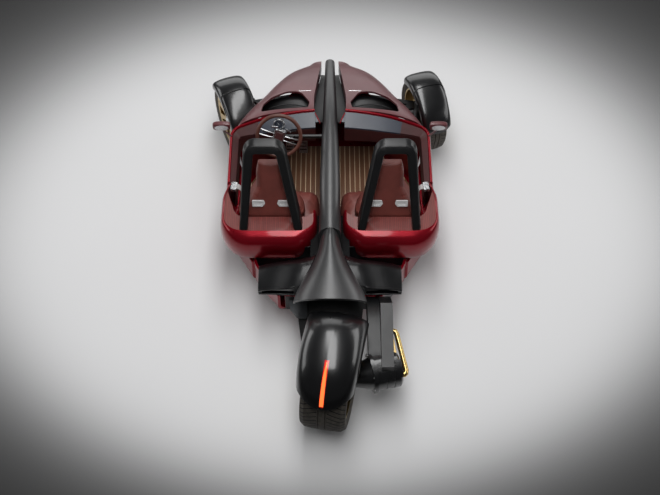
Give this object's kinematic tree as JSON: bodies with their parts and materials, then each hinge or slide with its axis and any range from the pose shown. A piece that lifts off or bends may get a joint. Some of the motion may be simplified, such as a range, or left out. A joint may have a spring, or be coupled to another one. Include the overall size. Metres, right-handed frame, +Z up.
{
  "type": "three wheeled car",
  "caption": "Open two-seat three-wheeled car with a central spine, roll hoops, steered front wheels under fenders and a steered driven rear wheel on a one-sided arm.",
  "frame": {"origin": "on the ground under the middle of the vehicle's box", "axes": "+Y forward, +X to the vehicle's right, +Z up"},
  "size_m": [1.965, 3.3275, 1.19],
  "materials": {
    "hood_satin": "satin dusky red",
    "body_red": "gloss deep red",
    "spine_dark": "satin dark grey",
    "gloss_black": "gloss black",
    "satin_black": "satin black",
    "veneer": "striped veneer",
    "planks": "planks with pale seams",
    "leather": "brown-red leather",
    "lining": "maroon leather",
    "dash_gloss": "blue-grey gloss",
    "steel": "satin",
    "bronze": "bronze paint",
    "gold": "satin gold",
    "tyre": "road rubber",
    "tail_light": "lit strip",
    "head_light": "clear lens",
    "cells": "plain case"
  },
  "bodies": {
    "body": {"spine_beam": "spine_dark", "tail_cowl": "spine_dark", "tail_wings": "gloss_black", "tail_tray": "body_red", "tub": "satin_black", "hood_left": "hood_satin", "hood_right": "hood_satin", "cockpit_rims": "body_red", "side_panel_left": "body_red", "side_panel_right": "body_red", "rear_quarter_left": "body_red", "rear_quarter_right": "body_red", "decks": "veneer", "floor_boards": "planks", "dash_panels": "dash_gloss", "linings": "lining", "seat_cushion_left": "leather", "seat_cushion_right": "leather", "seat_back_left": "leather", "seat_back_right": "leather", "hoop_left": "satin_black", "hoop_right": "satin_black", "steering_column": "satin_black", "gauge": "gloss_black", "mirrors": "gloss_black", "headlamps": "head_light", "pedals": "steel", "battery": "cells", "wishbones": "steel", "rear_arm": "steel", "motor": "satin_black", "side_loop": "gold"},
    "steering": {"steering_wheel": "leather"},
    "steer_left": {"knuckle_left": "steel", "front_fender_left": "gloss_black"},
    "steer_right": {"knuckle_right": "steel", "front_fender_right": "gloss_black"},
    "wheel_left": {"front_rim_left": "bronze", "front_tyre_left": "tyre"},
    "wheel_right": {"front_rim_right": "bronze", "front_tyre_right": "tyre"},
    "steer_rear": {"rear_knuckle": "steel", "rear_fender": "gloss_black", "tail_lamp": "tail_light"},
    "wheel_rear": {"rear_rim": "bronze", "rear_tyre": "tyre"}
  },
  "joints": [
    {"name": "steering_turn", "type": "hinge", "parent": "body", "child": "steering", "pos_m": [-0.389, 0.567, 0.8], "axis": [0, -0.9063, 0.4226], "range_deg": [-770, 86]},
    {"name": "left_steer", "type": "hinge", "parent": "body", "child": "steer_left", "pos_m": [-0.706, 1.275, 0.31], "axis": [0, 0, 1], "range_deg": [-46, 6]},
    {"name": "right_steer", "type": "hinge", "parent": "body", "child": "steer_right", "pos_m": [0.706, 1.275, 0.31], "axis": [0, 0, 1], "range_deg": [-46, 6]},
    {"name": "rear_steer", "type": "hinge", "parent": "body", "child": "steer_rear", "pos_m": [0, -1.325, 0.33], "axis": [0, 0, 1], "range_deg": [-3, 24]},
    {"name": "left_spin", "type": "hinge", "parent": "steer_left", "child": "wheel_left", "pos_m": [-0.78388, 1.24353, 0.31], "axis": [0.9272, 0.3746, 0], "continuous": true},
    {"name": "right_spin", "type": "hinge", "parent": "steer_right", "child": "wheel_right", "pos_m": [0.78589, 1.30096, 0.31], "axis": [0.9511, 0.309, 0], "continuous": true},
    {"name": "rear_spin", "type": "hinge", "parent": "steer_rear", "child": "wheel_rear", "pos_m": [0, -1.325, 0.33], "axis": [0.9833, -0.1822, 0], "continuous": true}
  ],
  "couplings": [
    {"joint": "left_steer", "follows": "steering_turn", "ratio": 0.0585},
    {"joint": "right_steer", "follows": "steering_turn", "ratio": 0.0585},
    {"joint": "rear_steer", "follows": "steering_turn", "ratio": -0.0307}
  ]
}
